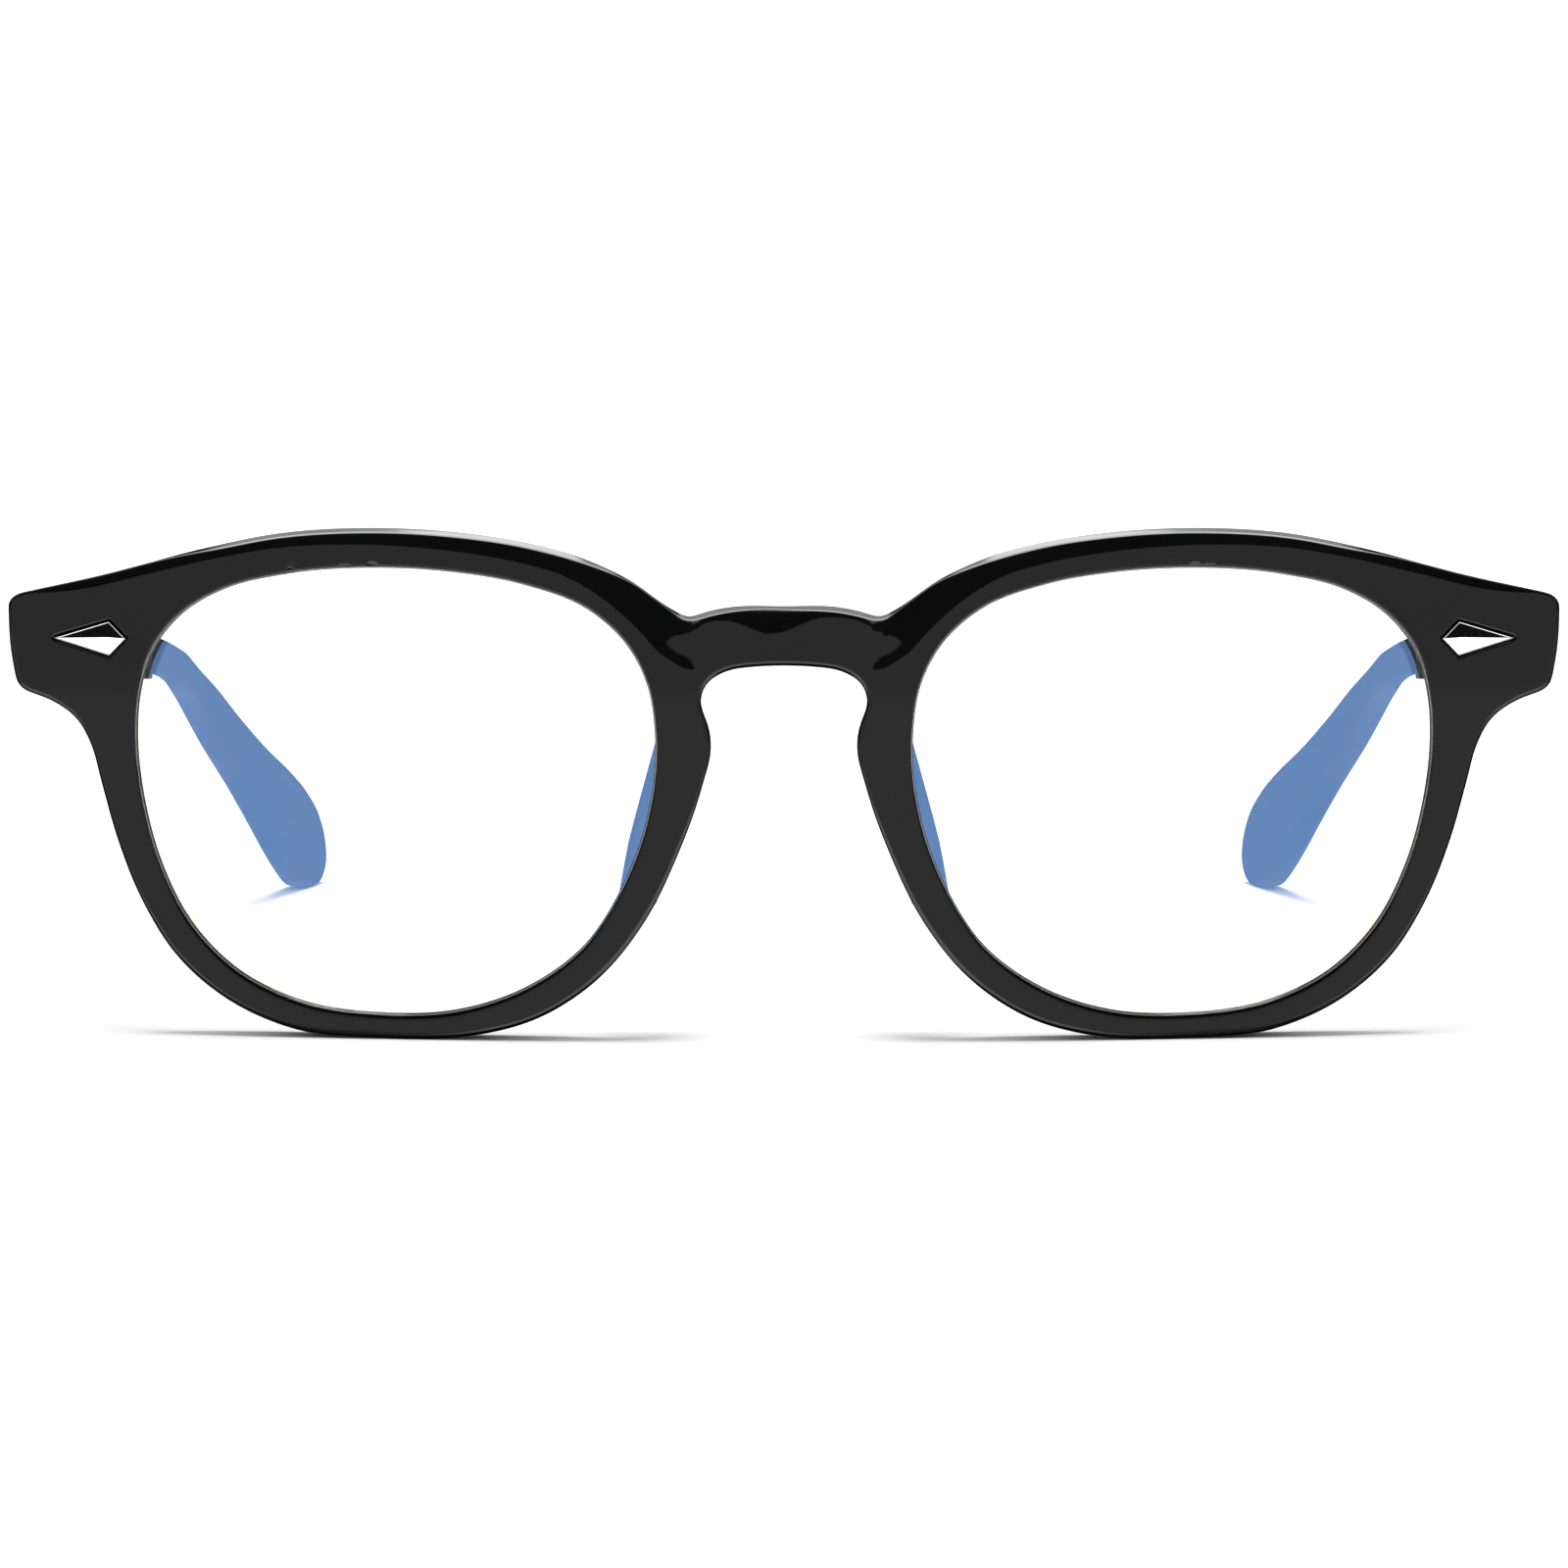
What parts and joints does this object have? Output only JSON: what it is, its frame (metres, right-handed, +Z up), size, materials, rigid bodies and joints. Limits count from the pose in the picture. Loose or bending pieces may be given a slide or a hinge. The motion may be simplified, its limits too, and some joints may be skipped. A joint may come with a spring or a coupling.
{
  "type": "glasses",
  "caption": "Black acetate full-rim glasses with a keyhole bridge, clear blue-reflecting lenses, kite-shaped rivets and temples that fold on riveted hinges.",
  "frame": {"origin": "on the table, in the middle of the open glasses' footprint", "axes": "+Z up, the front's face looks towards -Y and the open temples reach back along +Y; the mirror plane is X = 0 and +X is the wearer's left"},
  "size_m": [0.1442, 0.1498, 0.047],
  "materials": {
    "black_acetate": "polished black cellulose acetate",
    "coated_lens": "clear lens with a blue-reflecting coating",
    "rivet_metal": "bright polished metal",
    "hinge_metal": "satin nickel silver",
    "screw_steel": "polished steel",
    "core_wire": "drawn nickel silver strip"
  },
  "bodies": {
    "front": {"front_frame": "black_acetate", "lens_left": "coated_lens", "lens_right": "coated_lens", "nose_pad_left": "black_acetate", "nose_pad_right": "black_acetate", "front_rivet_left": "rivet_metal", "front_rivet_right": "rivet_metal", "front_hinge_leaf_left": "hinge_metal", "front_hinge_leaf_right": "hinge_metal", "hinge_screw_left": "screw_steel", "hinge_screw_right": "screw_steel"},
    "temple_left": {"temple_left": "black_acetate", "temple_core_left": "core_wire", "temple_hinge_leaf_left": "hinge_metal", "temple_rivet_left": "rivet_metal"},
    "temple_right": {"temple_right": "black_acetate", "temple_core_right": "core_wire", "temple_hinge_leaf_right": "hinge_metal", "temple_rivet_right": "rivet_metal"}
  },
  "joints": [
    {"name": "temple_fold_left", "type": "hinge", "parent": "front", "child": "temple_left", "pos_m": [0.0654, -0.0616, 0.036], "axis": [0, 0, 1], "range_deg": [0, 80]},
    {"name": "temple_fold_right", "type": "hinge", "parent": "front", "child": "temple_right", "pos_m": [-0.0654, -0.0616, 0.036], "axis": [0, 0, -1], "range_deg": [0, 86.5]}
  ]
}
